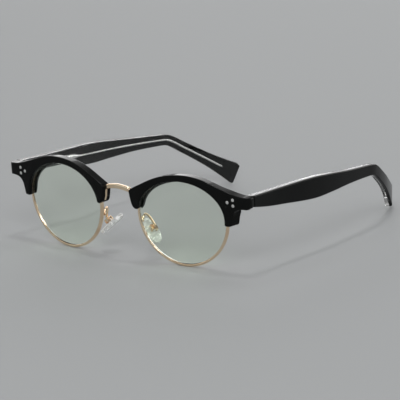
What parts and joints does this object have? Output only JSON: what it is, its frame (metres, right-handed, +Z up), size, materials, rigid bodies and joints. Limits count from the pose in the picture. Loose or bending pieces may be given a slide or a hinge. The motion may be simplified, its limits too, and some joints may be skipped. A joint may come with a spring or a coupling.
{
  "type": "browline_eyeglasses",
  "caption": "Browline eyeglasses standing open: black acetate brows riveted over slim champagne metal rims, with rocking nose pads and folding temples lined in clear acetate.",
  "frame": {"origin": "middle of the footprint, on the surface that the rims and temple tips stand on", "axes": "+X to the wearer's left, -Y the way the lenses face, +Z up"},
  "size_m": [0.1414, 0.154, 0.0437],
  "materials": {
    "black_acetate": "polished black acetate with rounded edges",
    "clear_acetate": "polished clear acetate laminated inside the black temple",
    "champagne_metal": "polished champagne plating",
    "steel": "bare satin nickel silver",
    "tinted_lens": "lightly green-grey tinted, coated",
    "silicone": "clear soft silicone"
  },
  "bodies": {
    "front_frame": {"bridge": "champagne_metal", "brow_left": "black_acetate", "rim_left": "champagne_metal", "lens_left": "tinted_lens", "closing_block_lower_left": "champagne_metal", "closing_block_upper_left": "champagne_metal", "closing_screw_left": "steel", "front_rivet_inner_left": "steel", "front_rivet_upper_left": "steel", "front_rivet_lower_left": "steel", "front_hinge_left": "steel", "hinge_screw_left": "steel", "pad_arm_left": "champagne_metal", "pad_box_left": "champagne_metal", "pad_screw_left": "steel", "brow_right": "black_acetate", "rim_right": "champagne_metal", "lens_right": "tinted_lens", "closing_block_lower_right": "champagne_metal", "closing_block_upper_right": "champagne_metal", "closing_screw_right": "steel", "front_rivet_inner_right": "steel", "front_rivet_upper_right": "steel", "front_rivet_lower_right": "steel", "front_hinge_right": "steel", "hinge_screw_right": "steel", "pad_arm_right": "champagne_metal", "pad_box_right": "champagne_metal", "pad_screw_right": "steel"},
    "temple_arm_left": {"temple_left": "black_acetate", "temple_lining_left": "clear_acetate", "core_wire_left": "steel", "temple_hinge_left": "steel", "temple_rivet_front_left": "steel", "temple_rivet_rear_left": "steel"},
    "rocking_pad_left": {"nose_pad_left": "silicone"},
    "temple_arm_right": {"temple_right": "black_acetate", "temple_lining_right": "clear_acetate", "core_wire_right": "steel", "temple_hinge_right": "steel", "temple_rivet_front_right": "steel", "temple_rivet_rear_right": "steel"},
    "rocking_pad_right": {"nose_pad_right": "silicone"}
  },
  "joints": [
    {"name": "temple_left_fold", "type": "hinge", "parent": "front_frame", "child": "temple_arm_left", "pos_m": [0.0651, -0.06402, 0.03389], "axis": [0, 0, 1], "range_deg": [0, 85]},
    {"name": "temple_right_fold", "type": "hinge", "parent": "front_frame", "child": "temple_arm_right", "pos_m": [-0.0651, -0.06402, 0.03389], "axis": [0, 0, -1], "range_deg": [0, 70]},
    {"name": "nose_pad_left_rock", "type": "hinge", "parent": "front_frame", "child": "rocking_pad_left", "pos_m": [0.01357, -0.06618, 0.01486], "axis": [-0.304, -0.9526, 0.0092], "range_deg": [-10, 10]},
    {"name": "nose_pad_right_rock", "type": "hinge", "parent": "front_frame", "child": "rocking_pad_right", "pos_m": [-0.01357, -0.06618, 0.01486], "axis": [0.304, -0.9526, 0.0092], "range_deg": [-10, 10]}
  ]
}
